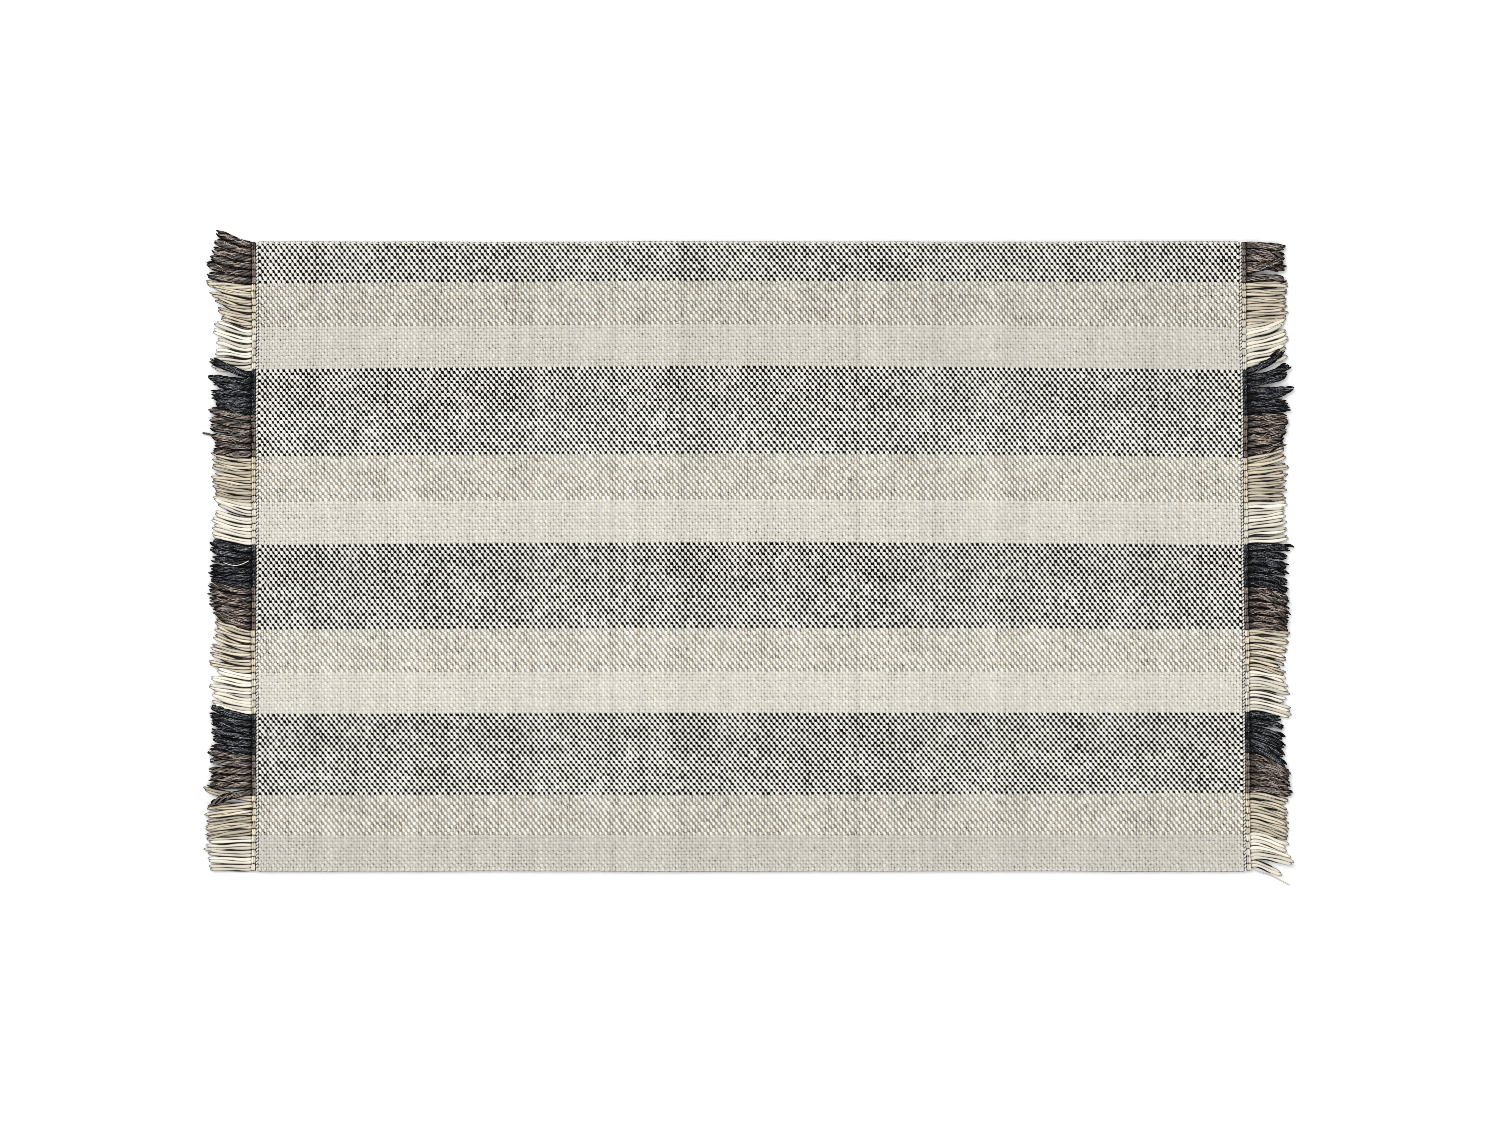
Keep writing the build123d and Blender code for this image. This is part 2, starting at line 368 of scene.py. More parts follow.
def yarn_material(name, use, twists_per_cm, brightness, shade_range):
    """Spun cotton: helical plies in the relief, fibres streaked along them, each yarn its own tone, and painted
    shade in its grooves and hollows.
    """
    base, fibre, fibre_share, groove_depth_and_shade = YARNS[name]
    made = bpy.data.materials.new(f"{name}_yarn_{use}")
    made.use_nodes = True
    tree = made.node_tree
    nodes, links = tree.nodes, tree.links
    nodes.clear()

    def add(kind, **settings):
        node = nodes.new(kind)
        for key, value in settings.items():
            setattr(node, key, value)
        return node

    def maths(operation, first, second=0.0):
        node = add("ShaderNodeMath", operation=operation)
        for socket, value in zip(node.inputs, (first, second)):
            if isinstance(value, (int, float)):
                socket.default_value = value
            else:
                links.new(value, socket)
        return node.outputs[0]

    uv = add("ShaderNodeUVMap", uv_map="yarn")
    split = add("ShaderNodeSeparateXYZ")
    links.new(uv.outputs["UV"], split.inputs[0])
    along, around = split.outputs["X"], split.outputs["Y"]
    tone = add("ShaderNodeAttribute", attribute_name="tone").outputs["Fac"]
    light = add("ShaderNodeAttribute", attribute_name="light").outputs["Fac"]

    # Position in the spiral of the plies: whole numbers are the grooves between them.
    spiral = maths("ADD", maths("MULTIPLY", along, twists_per_cm), maths("MULTIPLY", around, YARN_PLIES))
    groove = maths("ABSOLUTE", maths("SINE", maths("MULTIPLY", spiral, math.pi)))
    plump = maths("POWER", groove, GROOVE_POWER)

    # Fibres: noise stretched along the spiral.
    stretched = add("ShaderNodeCombineXYZ")
    links.new(maths("MULTIPLY", along, FIBRE_STRETCH[0]), stretched.inputs[0])
    links.new(maths("MULTIPLY", spiral, FIBRE_STRETCH[1]), stretched.inputs[1])
    links.new(around, stretched.inputs[2])
    fibres = add("ShaderNodeTexNoise")
    fibres.inputs["Scale"].default_value = FIBRE_SCALE
    fibres.inputs["Detail"].default_value = FIBRE_DETAIL
    links.new(stretched.outputs[0], fibres.inputs["Vector"])
    streaks = add("ShaderNodeMapRange")
    streaks.inputs["From Min"].default_value, streaks.inputs["From Max"].default_value = FIBRE_RANGE
    links.new(fibres.outputs["Fac"], streaks.inputs["Value"])

    # Colour: base, paler fibres, then painted shade in the grooves, the yarn's own tone, and painted shade in
    # the hollows it dives into.
    mix = add("ShaderNodeMix", data_type="RGBA")
    mix.inputs["A"].default_value = (*base, 1)
    mix.inputs["B"].default_value = (*fibre, 1)
    links.new(maths("MULTIPLY", streaks.outputs[0], fibre_share), mix.inputs["Factor"])
    groove_floor_shade = (1 - groove_depth_and_shade) * brightness
    groove_shaded = maths("ADD", maths("MULTIPLY", plump, groove_depth_and_shade * brightness), groove_floor_shade)
    toned = maths("ADD", maths("MULTIPLY", tone, TONE_STEP), 1.0)
    hollow_shade = add("ShaderNodeMapRange", interpolation_type="SMOOTHSTEP")
    hollow_shade.inputs["From Min"].default_value, hollow_shade.inputs["From Max"].default_value = shade_range
    hollow_shade.inputs["To Min"].default_value = DARKEST
    links.new(light, hollow_shade.inputs["Value"])
    tinted = add("ShaderNodeVectorMath", operation="SCALE")
    links.new(mix.outputs["Result"], tinted.inputs[0])
    strength = maths("MULTIPLY", maths("MULTIPLY", groove_shaded, toned), hollow_shade.outputs[0])
    links.new(strength, tinted.inputs["Scale"])

    bump = add("ShaderNodeBump")
    bump.inputs["Strength"].default_value = RELIEF_STRENGTH
    bump.inputs["Distance"].default_value = RELIEF_HEIGHT
    ply_relief = maths("MULTIPLY", plump, 2 * groove_depth_and_shade + 0.1)
    fibre_relief = maths("MULTIPLY", fibres.outputs["Fac"], FIBRE_RELIEF)
    links.new(maths("ADD", ply_relief, fibre_relief), bump.inputs["Height"])

    shader = add("ShaderNodeBsdfPrincipled")
    shader.inputs["Roughness"].default_value = ROUGHNESS
    shader.inputs["Specular IOR Level"].default_value = GLOSS
    shader.inputs["Sheen Weight"].default_value = CORD_SHEEN if use == "twisted" else 0.0
    shader.inputs["Sheen Roughness"].default_value = SHEEN_ROUGHNESS
    links.new(tinted.outputs[0], shader.inputs["Base Color"])
    links.new(bump.outputs[0], shader.inputs["Normal"])
    output = add("ShaderNodeOutputMaterial")
    links.new(shader.outputs[0], output.inputs["Surface"])
    return made


# Each yarn has two copies: woven, painted lighter or darker by WOVEN_SHADE, and twisted, at its own brightness
WOVEN = {name: yarn_material(name, "woven", WOVEN_TWIST, WOVEN_SHADE[name], (HOLLOW_START[name], HOLLOW_END))
         for name in YARNS}
TWISTED = {name: yarn_material(name, "twisted", CORD_TWIST, 1.0, shade_range)
           for name, shade_range in CORD_HOLLOW.items()}


# ---------------------------------------------------------------- the weave

def warp_places():
    """For each stripe, the Y of its warp ends, and the number of the first of them."""
    places, count = [], 0
    for number, colour, low, high in STRIPES:
        ends = round((high - low) / END_PITCH)
        pitch = (high - low) / ends
        wander = np.random.default_rng(SEED + number).normal(0, END_SPREAD, ends)
        places.append((number, colour, high - (np.arange(ends) + 0.5) * pitch + wander, count))
        count += ends
    return places


# Unevenness of the beat as shares of the spacing: over 140 picks, over 23 picks, and from pick to pick
SLOW_BEAT, QUICK_BEAT, PICK_BEAT = (0.045, 140), (0.035, 23), 0.015


def pick_places():
    """The X of each weft pick. They are beaten in by hand, so the spacing changes along the rug."""
    count = round(2 * HEADER_INNER / PICK_PITCH)
    number = np.arange(count)
    gaps = (1 + SLOW_BEAT[0] * waves(number, SLOW_BEAT[1], SEED + 20)
            + QUICK_BEAT[0] * waves(number, QUICK_BEAT[1], SEED + 21))
    gaps += np.random.default_rng(SEED + 22).normal(0, PICK_BEAT, count)
    middles = np.cumsum(gaps) - gaps / 2
    return -HEADER_INNER + 2 * HEADER_INNER * middles / gaps.sum()


WARP = warp_places()
ALL_ENDS = np.concatenate([places for _, _, places, _ in WARP])
PICKS = pick_places()
# Broad bands, narrow bands and single picks of slightly other tone, as hand-spun weft has
PICK_TONE = (0.25 * waves(PICKS, 240, SEED + 30) + 0.25 * waves(PICKS, 46, SEED + 31)
             + np.random.default_rng(SEED + 32).normal(0, 0.3, len(PICKS)))
WEFT_THICKNESS = (0.03, 0.08)    # how much the width of the weft follows its tone, and the mottle


def mottle(x, y):
    """Patches some centimetres across where the weft is plumper or thinner."""
    return (waves(x + 0.6 * y, 105, SEED + 40) + waves(x - 0.8 * y, 83, SEED + 41)
            + waves(y + 0.3 * x, 64, SEED + 42)) / 1.6


def interlaced(crossings, lanes, over, rise, slant, yarn, ends, seed):
    """Yarn paths through the weave. crossings: places along each yarn. lanes: each yarn's place across.
    over: lanes x crossings, +1 where the yarn floats on top. ends: the two places where each yarn stops.
    Each float is level between two shoulders, so there are two rings for every crossing."""
    draw = np.random.default_rng(seed)
    yarns, count = over.shape
    gap = np.gradient(crossings) * SHOULDER
    rings = 2 * count + 2

    def both_shoulders(first, second):
        return np.stack([first, second], axis=-1).reshape(*np.shape(first)[:-1], -1)

    along = np.empty((yarns, rings))
    along[:, 0], along[:, -1] = ends
    along[:, 1:-1] = both_shoulders(crossings - gap, crossings + gap)
    height = np.zeros((yarns, rings))
    uneven = np.clip(draw.normal(0, RISE_SPREAD, over.shape), -RISE_SPREAD_MOST, RISE_SPREAD_MOST)
    lifted = over * (rise + uneven)
    height[:, 1:-1] = both_shoulders(lifted, lifted)
    sideways = np.broadcast_to(lanes[:, None], (yarns, rings)).copy()
    astray = draw.normal(0, SIDEWAYS_SPREAD, over.shape)
    lean = slant * over
    sideways[:, 1:-1] += both_shoulders(astray - lean, astray + lean)
    plump = 1 + draw.normal(0, PLUMP_SPREAD, over.shape)
    wide = np.full((yarns, rings), yarn[0] * 0.8)
    wide[:, 1:-1] = yarn[0] * both_shoulders(plump, plump)
    tall = np.full((yarns, rings), yarn[1])
    return along, sideways, height, wide, tall


def sign_table(lanes, crossings):
    """+1 and -1 in turn, as a plain weave has."""
    return 1 - 2 * ((np.add.outer(lanes, crossings)) % 2)


def weft_pieces():
    """The picks in groups along the rug; the middle group is baked in place, attached to neither half."""
    made = []
    # Height of the weft in each lane, its painted light (least in the hollows, and shade), and each stripe's
    # tone, which at the outermost stripes is painted shade
    rise, least, shade = (
        np.concatenate([np.full(len(places), table[colour]) for _, colour, places, _ in WARP])
        for table in (WEFT_RISE, HOLLOW_LIGHT, WEFT_LIGHT))
    stripe_shade_and_tone = np.concatenate([np.full(len(places), STRIPE_SHADE_AND_TONE.get(number, 0)) for number, _, places, _ in WARP])
    # One value for each ring of a pick: two at every warp end, and one more at each selvedge
    least = np.concatenate([[EDGE_HOLLOW_LIGHT], np.repeat(least, 2), [EDGE_HOLLOW_LIGHT]])
    shade = np.concatenate([[1], np.repeat(shade, 2), [1]])
    stripe_shade_and_tone = np.concatenate([stripe_shade_and_tone[:1], np.repeat(stripe_shade_and_tone, 2), stripe_shade_and_tone[-1:]])
    edge = ALL_ENDS[0] + 0.55 * END_PITCH
    by_tone, by_patch = WEFT_THICKNESS
    for group, chosen in enumerate(np.array_split(np.arange(len(PICKS)), WEFT_GROUPS), start=1):
        over = sign_table(chosen, np.arange(len(ALL_ENDS)))
        along, sideways, height, wide, tall = interlaced(
            ALL_ENDS, PICKS[chosen], over, rise, WEFT_SLANT, WEFT_YARN, (edge, -edge), SEED + 100 + group)
        paths = np.stack([sideways, along, CLOTH_MIDDLE + height], axis=-1)
        thickness = 1 + by_tone * PICK_TONE[chosen][:, None] + by_patch * mottle(sideways, along)
        start = np.random.default_rng(SEED + 200 + group).uniform(0, 40, len(chosen))
        tube = tubes(paths, wide * thickness, tall, WEFT_SIDES, PICK_TONE[chosen][:, None] + stripe_shade_and_tone,
                     CLOTH_MIDDLE, CLOTH_DEPTH, shade, start, WEFT_RIM, least)
        weft = piece(f"weft_picks_{group:02d}", [tube], WOVEN["weft"])
        low, high = PICKS[chosen[0]], PICKS[chosen[-1]]
        if high < -FOLD_REACH:
            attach(weft, "field_left")
        elif low > FOLD_REACH:
            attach(weft, "field_right")
        else:
            bend_at_fold(weft)
        made.append(weft)
    return made


def warp_pieces():
    """The warp ends of each stripe, from knot to knot."""
    made = []
    reach = HEADER_OUTER + TUCK
    # The header's twining counts as one more crossing at each end.
    twined = (HEADER_INNER + HEADER_OUTER) / 2
    crossings = np.concatenate([[-twined], PICKS, [twined]])
    for number, colour, lanes, first in WARP:
        over = -sign_table(first + np.arange(len(lanes)), np.arange(-1, len(PICKS) + 1))
        along, sideways, height, wide, tall = interlaced(
            crossings, lanes, over, WARP_RISE, WARP_SLANT, WARP_YARN, (-reach, reach), SEED + 300 + number)
        paths = np.stack([along, sideways, CLOTH_MIDDLE + height], axis=-1)
        draw = np.random.default_rng(SEED + 400 + number)
        own = draw.normal(0, END_TONE_SPREAD, len(lanes))
        tone = own[:, None] + END_TONE_WAVE[0] * waves(along, END_TONE_WAVE[1], SEED + 500 + number)
        tone = tone + STRIPE_SHADE_AND_TONE.get(number, 0)
        # Beyond the header the warp is painted dark, as shade under the knots
        inside = np.abs(along) < HEADER_INNER
        tube = tubes(paths, wide, tall, WARP_SIDES, tone, CLOTH_MIDDLE, CLOTH_DEPTH,
                     np.where(inside, 1.0, WARP_SHADE_UNDER_KNOTS), draw.uniform(0, 40, len(lanes)),
                     least=np.where(inside, HOLLOW_LIGHT[colour], 0))
        warp = piece(f"warp_stripe_{number:02d}_{colour}", [tube], WOVEN[colour])
        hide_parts(*[f"stripe_{number:02d}_{colour}_{end}" for end in ("left", "right")])
        bend_at_fold(warp)
        made.append(warp)
    return made


# ---------------------------------------------------------------- edges of the cloth

def selvedge_pieces():
    """Where the weft turns round the outermost warp end, one loop for every second pick."""
    made = []
    turn = np.linspace(0, math.pi, 7)
    for edge_name, sign, first_pick in (("back", 1, 0), ("front", -1, 1)):
        starts = np.arange(first_pick, len(PICKS) - 1, 2)
        inner = sign * (ALL_ENDS[0] + TURN_START * END_PITCH)
        for end_name in ("left", "right"):
            middles = (PICKS[starts] + PICKS[starts + 1]) / 2
            chosen = starts[middles < 0] if end_name == "left" else starts[middles >= 0]
            middle = ((PICKS[chosen] + PICKS[chosen + 1]) / 2)[:, None]
            radius = ((PICKS[chosen + 1] - PICKS[chosen]) / 2)[:, None]
            draw = np.random.default_rng(SEED + 600 + len(made))
            bulge = TURN_BULGE + draw.normal(0, TURN_BULGE_SPREAD, (len(chosen), 1))
            x = middle - TURN_OVERLAP * radius * np.cos(turn)
            y = inner + sign * bulge * np.sin(turn)
            z = np.broadcast_to(CLOTH_MIDDLE + TURN_LIFT + TURN_SLOPE * np.cos(turn), x.shape)
            paths = np.stack([x, y, z], axis=-1)
            half = np.full(x.shape, TURN_HALF)
            # The turns are painted darker than the weft in the cloth, with painted shade on their flanks
            tube = tubes(paths, half, half, WEFT_SIDES, PICK_TONE[chosen][:, None] + TURN_TONE,
                         CLOTH_MIDDLE, TURN_DEPTH, start=draw.uniform(0, 40, len(chosen)), rim=TURN_RIM)
            loops = piece(f"selvedge_turns_{edge_name}_{end_name}", [tube], WOVEN["weft"])
            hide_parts(f"selvedge_{edge_name}_{end_name}")
            bend_at_fold(loops)
            made.append(loops)
    return made


def header_pieces():
    """Two wefts twined round each other and round every warp end, beside the knots."""
    made = []
    top = ALL_ENDS[0] + 0.5 * END_PITCH
    y = np.linspace(top, -top, HEADER_STEPS * len(ALL_ENDS))
    crossing = np.interp(-y, -ALL_ENDS, np.arange(len(ALL_ENDS)))
    for end_name, sign in (("left", -1), ("right", 1)):
        middle = sign * (HEADER_INNER + HEADER_OUTER) / 2
        parts = []
        for ply in (0, 1):
            angle = math.pi * (crossing + ply + 0.5)
            paths = np.stack([middle + HEADER_RADII[0] * np.cos(angle), y,
                              CLOTH_MIDDLE + HEADER_RADII[1] * np.sin(angle)], axis=-1)
            half = np.full((1, len(y)), HEADER_HALF)
            # The twined wefts are painted darker than the weft in the cloth, with painted shade on their flanks
            tone = HEADER_TONE_WAVE[0] * waves(y, HEADER_TONE_WAVE[1], SEED + 700 + ply)[None] + HEADER_TONE
            parts.append(tubes(paths[None], half, half, CORD_SIDES, tone, CLOTH_MIDDLE + 0.5, HEADER_DEPTH, 0.9,
                               rim=HEADER_RIM))
        header = piece(f"header_twining_{end_name}", parts, WOVEN["weft"])
        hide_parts(f"header_picks_{end_name}")
        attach(header, f"field_{end_name}")
        made.append(header)
    return made


def cord_places(low, high):
    """The Y of each cord of a stripe, and their pitch."""
    count = round((high - low) / END_PITCH) // ENDS_PER_CORD
    pitch = (high - low) / count
    return [high - pitch * (index + 0.5) for index in range(count)], pitch


def knot(middle_x, middle_y, pitch, tone, draw):
    """One link of the knotted edge: two strands side by side that twist a little and tuck under at the ends."""
    share = np.linspace(-1, 1, 12)
    lean, turn = draw.normal(0, KNOT_SPREAD), draw.normal(STRAND_TURN, STRAND_TURN_SPREAD)
    outwards = np.abs(share)    # 0 in the middle of the knot and 1 at its ends
    parts = []
    for strand in (0, math.pi):
        angle = strand + turn + STRAND_TWIST * share
        x = middle_x + STRAND_RADIUS * np.cos(angle) + lean * share
        y = middle_y + KNOT_REACH * pitch * share
        z = CLOTH_MIDDLE + KNOT_LIFT + STRAND_LIFT * np.sin(angle) - KNOT_DIVE * outwards ** 6
        half = STRAND_HALF * (1 - 0.5 * outwards ** 4)
        # Painted shade: each strand is lit at its top and dark at its flanks, and darker still towards its
        # ends, where it tucks under
        shaded_ends = (1 - 0.85 * outwards ** 7)[None]
        parts.append(tubes(np.stack([x, y, z], axis=-1)[None], half[None], half[None], CORD_SIDES,
                           draw.normal(*tone), z, STRAND_DEPTH, shaded_ends, draw.uniform(0, 40)))
    return parts


def knot_pieces():
    """The knotted edges, one piece for each colour and end."""
    made = []
    for end_name, sign in (("left", -1), ("right", 1)):
        middle_x = sign * (HEADER_OUTER + KNOT_OFFSET)
        for colour in CORD_KINDS:
            draw = np.random.default_rng(SEED + 800 + len(made))
            parts = []
            for _, stripe_colour, low, high in STRIPES:
                if stripe_colour == colour:
                    middles, pitch = cord_places(low, high)
                    for middle in middles:
                        x = middle_x + draw.normal(0, KNOT_SPREAD)
                        parts += knot(x, middle, pitch, KNOT_TONE_AND_HIGHLIGHT[colour], draw)
            knots = piece(f"knotted_edge_{colour}_{end_name}", parts, TWISTED[colour])
            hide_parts(f"knots_{colour}_{end_name}")
            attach(knots, f"field_{end_name}")
            made.append(knots)
    return made


# ---------------------------------------------------------------- fringe

HAIRS, HAIR_HALF, HAIR_TONE = 5, 0.11, 0.5    # at each cut tip: how many, how thin, and their tone
HAIR_LENGTH = (1.5, 3.5)
GLINT_HALF, FAINTEST_GLINT = (0.24, 0.42), 15
FIBRE_SIDES = 4
ALWAYS_LIT = (-2.0, 2.0)    # a middle height and depth for tubes() that leave no part of a fibre dark


def hairs(tip, out, draw):
    """Single fibres that stick out of a cut tip."""
    share = np.linspace(0, 1, 4)
    base = tip + draw.normal(0, 0.9, (HAIRS, 3)) * (1, 1, 0.6)
    lean = np.stack([np.full(HAIRS, out), draw.normal(0, 0.7, HAIRS), draw.normal(0, 0.25, HAIRS)], axis=-1)
    length = draw.uniform(*HAIR_LENGTH, (HAIRS, 1))
    paths = base[:, None] + (lean * length)[:, None] * share[:, None]
    paths[..., 1] += draw.normal(0, 1.2, (HAIRS, 1)) * share ** 2
    paths[..., 2] = np.maximum(paths[..., 2], 0.3)
    half = np.full((HAIRS, len(share)), HAIR_HALF) * (1 - 0.6 * share)
    return tubes(paths, half, half, FIBRE_SIDES, HAIR_TONE, *ALWAYS_LIT)


def glints(line, radius, count, brightest, draw):
    """Pale fibres along the top of a dark cord, partly the yarn's own fibres and partly painted highlight, left
    unshaded.
    """
    made = []
    for _ in range(count):
        reach = draw.integers(5, 9)
        first = draw.integers(2, len(line) - reach)
        path = line[first:first + reach].copy()
        aside = draw.uniform(-0.8, 0.8) + np.linspace(-0.3, 0.3, reach) * draw.normal(0, 1)
        aside = np.clip(aside, -0.95, 0.95)
        path[:, 1] += radius * aside
        path[:, 2] += CORD_FLATNESS * radius * np.sqrt(1 - aside ** 2) + 0.1
        half = draw.uniform(*GLINT_HALF) * np.sin(np.linspace(0.3, math.pi - 0.3, reach))
        tone = draw.uniform(FAINTEST_GLINT, brightest)
        made.append(tubes(path[None], half[None], half[None], FIBRE_SIDES, tone, *ALWAYS_LIT))
    return made


SWING_PEAK = 4             # the swing near the knots is widest at one over this share of a cord
WRIGGLES = ((0.3, 0.8, 1.6), (0.5, 0.5, 1.1))    # two bends in each cord: size, and least and most waves
FRAY_LENGTH = 4.5          # plies thin out and part over this length before the tip
KNOT_SHADOW = (0.35, 2.5)  # painted shadow: light painted on a cord where it leaves the knots, and how far that shadow reaches
CORD_WANDER = 0.7          # how far single cords stray from their stripe's drift
TRIM_SPREAD = 1.4          # unevenness of the cut from cord to cord
PLY_TRIM_SPREAD = 1.5      # and from ply to ply
SHADE_FILLER_LIGHT = 0.3           # light painted on the dark filler below the plies, whose painted shade shows in the gaps between cords


def sine(share, waves_along, start):
    """A sine along a cord, with so many waves in it and a start from 0 to 1."""
    return np.sin(2 * math.pi * (share * waves_along + start))


def cord(end_name, sign, number, index, count, middle, pitch, colour, draw):
    """One fringe cord: plies over a dark filler of painted shade, lying the way its stripe drifts, with a cut
    and frayed tip.
    """
    plies, half, radius, turn_length = CORD_KINDS[colour]
    round_cord = colour in GLINTS
    *drifts, _, first_reach, last_reach = CORD_LAY[end_name][number - 1]
    place = index / (count - 1)
    stripe_swings = [(-(low + high) / 2, lay[3]) for (_, _, low, high), lay in zip(STRIPES, CORD_LAY[end_name])]
    swing = np.interp(-middle, *zip(*stripe_swings))
    drift = np.interp(place, (0, 0.5, 1), drifts) + draw.normal(0, CORD_WANDER)
    lift, longer = 0.2 * (index % 2), draw.normal(0, TRIM_SPREAD)
    if (end_name, number, index) in STRAY_CORDS:
        drift, lift, longer = STRAY_CORDS[end_name, number, index]

    # The cord's own line, from under the knots to its tip
    start = HEADER_OUTER + TUCK
    reach = KNOT_OUTER - start + first_reach + (last_reach - first_reach) * place + longer
    rings = round(reach / RING_STEP)
    share = np.linspace(0, 1, rings)
    near_knots = SWING_PEAK * share * np.exp(1 - SWING_PEAK * share)
    wriggle = 0
    for size, fewest, most in WRIGGLES:
        wriggle = wriggle + size * sine(share, draw.uniform(fewest, most), draw.uniform()) * share
    # Part of the drift is a straight slant and the rest grows towards the tip.
    line_y = (middle + drift * (0.35 * share + 0.65 * share ** 2) + swing * near_knots
              + draw.normal(0, 0.3) * np.sin(math.pi * share) + wriggle)
    depth = CORD_FLATNESS * (radius + half if round_cord else half + 0.3)
    line_z = CLOTH_MIDDLE + (depth + 0.1 - CLOTH_MIDDLE) * np.clip(share * 5, 0, 1)
    line_z = line_z + lift * np.clip(share * 2.5, 0, 1) ** 2
    line = np.stack([sign * (start + reach * share), line_y, line_z], axis=-1)
    slope = np.gradient(line_y, sign * reach * share)
    side = np.stack([-slope, np.ones(rings)], axis=-1)
    side /= np.linalg.norm(side, axis=1, keepdims=True)

    fray = np.clip((reach * (share - 1) + FRAY_LENGTH) / FRAY_LENGTH, 0, 1)
    # Painted shadow of the knots on the root of the cord
    shadow, shadow_reach = KNOT_SHADOW
    shade = np.clip(shadow + (1 - shadow) * (reach * share - shadow_reach) / shadow_reach, shadow, 1)[None]
    if turn_length:
        turns = reach / turn_length * draw.uniform(0.85, 1.15)
        roll = 2 * math.pi * (turns * share + draw.uniform())
    else:
        roll = draw.normal(0, 0.2) + 0.55 * sine(share, draw.uniform(0.6, 1.1), draw.uniform())
    tone = draw.normal(0, 0.5)
    # How far the plies stand from the cord's line, across and up, as shares of the radius
    if round_cord:
        wide = np.clip(0.5 + reach * share / 10, 0, 1) + 0.25 * share ** 2 - 0.4 * fray
        tall = np.minimum(wide, 1)
    else:
        wide, tall = 1.0, np.clip(reach * share / 6 - 0.6, 0, 1)

    parts = []
    for ply in range(plies):
        angle = roll + 2 * math.pi * ply / plies
        offset = radius * wide * np.cos(angle) + 0.4 * sine(share, 1.3, draw.uniform()) * share
        trimmed = reach + draw.normal(0, PLY_TRIM_SPREAD)
        x = sign * (start + trimmed * share) + side[:, 0] * offset
        y = line_y + side[:, 1] * offset
        z = line_z + CORD_FLATNESS * radius * tall * np.sin(angle)
        width = half * (1 - 0.55 * fray ** 1.5) * (1 + 0.1 * np.sin(share * 9 + roll[0] + ply))
        width = width * draw.uniform(0.88, 1.08)
        z = np.maximum(z, CORD_FLATNESS * width + 0.05)
        # Painted shade: plies of round cords are lit at the cord's top and dark at their flanks, plies of flat
        # cords by their own height
        if round_cord:
            middle_z, deep, rim, own = line_z, depth, 0.45, draw.exponential(4) - 4
        else:
            middle_z, deep, rim, own = z, CORD_FLATNESS * half, 0.0, draw.normal(0.4, 1.2)
        parts.append(tubes(np.stack([x, y, z], axis=-1)[None], width[None], CORD_FLATNESS * width[None],
                           CORD_SIDES, tone + own, middle_z, deep, shade, draw.uniform(0, 40), rim))
    if round_cord:
        parts += glints(line, radius + half, *GLINTS[colour], draw)

    # A dark filler below the plies and wider than the cord, painted as shade, so the gaps between cords show
    # dark
    shade_filler_rings = rings - 3
    taper = 1 - np.clip(share[:shade_filler_rings] / share[shade_filler_rings - 1] * 4 - 3, 0, 1) ** 2 * 0.6
    shade_filler_line = line[:shade_filler_rings] - (0, 0, 0.15 * depth)
    shade_filler_width = (pitch / 2 + 0.2 + 0.7 * share[:shade_filler_rings]) * taper
    parts.append(tubes(shade_filler_line[None], shade_filler_width[None], 0.42 * depth * taper[None], CORD_SIDES, tone,
                       line_z[:shade_filler_rings], depth, SHADE_FILLER_LIGHT * shade[:, :shade_filler_rings]))
    tip = np.array([sign * (start + reach - 1.5), line_y[-1], line_z[-1]])
    parts.append(hairs(tip, sign, draw))
    return parts


LOOSE_RINGS, LOOSE_SIDES = 24, 6


def loose_yarn(points, half, tone):
    """A single yarn through a few points, smoothed."""
    points = np.array(points, dtype=float)
    share = np.linspace(0, len(points) - 1, LOOSE_RINGS)
    path = np.stack([np.interp(share, np.arange(len(points)), column) for column in points.T], axis=-1)
    for _ in range(3):
        path[1:-1] = (path[:-2] + 2 * path[1:-1] + path[2:]) / 4
    half = np.full(len(path), half)
    # Painted shade: lit at its top and dark at its flanks
    return tubes(path[None], half[None], half[None], LOOSE_SIDES, tone, path[:, 2], half[0])


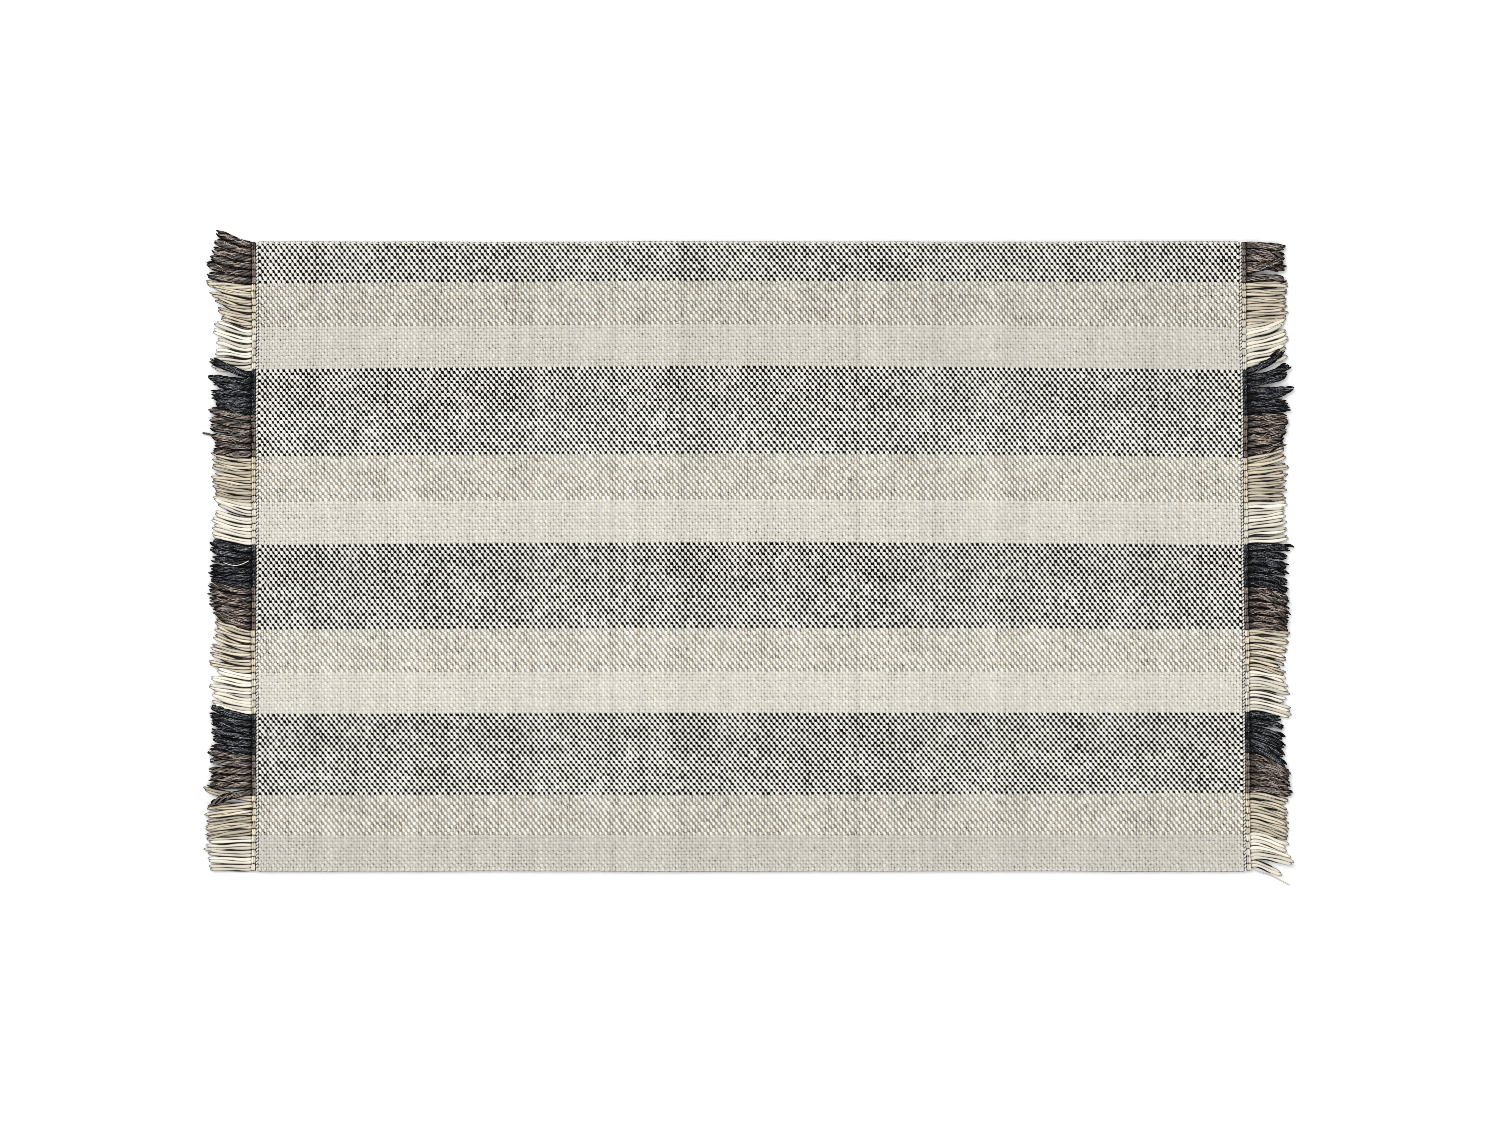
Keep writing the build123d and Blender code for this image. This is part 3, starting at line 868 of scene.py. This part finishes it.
def fringe_pieces():
    """The fringes, one piece for each colour and end, baked in place."""
    made = []
    for end_name, sign in (("left", -1), ("right", 1)):
        for colour in CORD_KINDS:
            draw = np.random.default_rng(SEED + 900 + len(made))
            parts = []
            for number, stripe_colour, low, high in STRIPES:
                if stripe_colour == colour:
                    middles, pitch = cord_places(low, high)
                    for index, middle in enumerate(middles):
                        parts += cord(end_name, sign, number, index, len(middles), middle, pitch,
                                      colour, draw)
            for loose_colour, loose_end, half, tone, points in LOOSE_YARNS:
                if (loose_colour, loose_end) == (colour, end_name):
                    parts.append(loose_yarn(points, half, tone))
            fringe = piece(f"fringe_cords_{colour}_{end_name}", parts, TWISTED[colour])
            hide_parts(f"fringe_{colour}_{end_name}")
            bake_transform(fringe)
            made.append(fringe)
    return made


# ---------------------------------------------------------------- stage, light and camera

def stage_and_light():
    """A pale floor, an even white sky and two soft lamps."""
    floor_mesh = bpy.data.meshes.new("floor")
    corners = [(FLOOR_REACH * x, FLOOR_REACH * y, 0) for x, y in ((-1, -1), (1, -1), (1, 1), (-1, 1))]
    floor_mesh.from_pydata(corners, [], [(0, 1, 2, 3)])
    floor = bpy.data.objects.new("floor", floor_mesh)
    floor.location.z = -FLOOR_DROP
    bpy.context.scene.collection.objects.link(floor)
    paint = bpy.data.materials.new("floor_paint")
    paint.use_nodes = True
    shader = paint.node_tree.nodes["Principled BSDF"]
    shader.inputs["Base Color"].default_value = (0.95, 0.95, 0.95, 1)
    shader.inputs["Roughness"].default_value = 0.9
    floor_mesh.materials.append(paint)

    world = bpy.data.worlds.new("studio")
    world.use_nodes = True
    sky = world.node_tree.nodes["Background"]
    sky.inputs["Color"].default_value = (1, 1, 1, 1)
    sky.inputs["Strength"].default_value = SKY_STRENGTH
    bpy.context.scene.world = world

    for name, place, size, power in LAMPS:
        light = bpy.data.lights.new(name, "AREA")
        light.size = size
        light.energy = power
        lamp = bpy.data.objects.new(name, light)
        lamp.location = place
        lamp.rotation_mode = "QUATERNION"
        lamp.rotation_quaternion = lamp.location.to_track_quat("Z", "Y")
        bpy.context.scene.collection.objects.link(lamp)


def camera():
    """The camera looks straight down, as in the photograph."""
    made = bpy.data.cameras.new("camera")
    made.lens, made.sensor_width = LENS, SENSOR
    made.clip_end = 50
    eye = bpy.data.objects.new("camera", made)
    height = PICTURE_WIDTH * LENS / SENSOR
    eye.location = (0, -CAMERA_DROP * MM, height * MM)
    bpy.context.scene.collection.objects.link(eye)
    bpy.context.scene.camera = eye


camera()
fringes = fringe_pieces()
stage_and_light()
knots = knot_pieces()
headers = header_pieces()
selvedges = selvedge_pieces()
wefts = weft_pieces()
warps = warp_pieces()

bpy.context.scene.view_settings.view_transform = "Standard"
bpy.context.scene.cycles.filter_width = PIXEL_FILTER
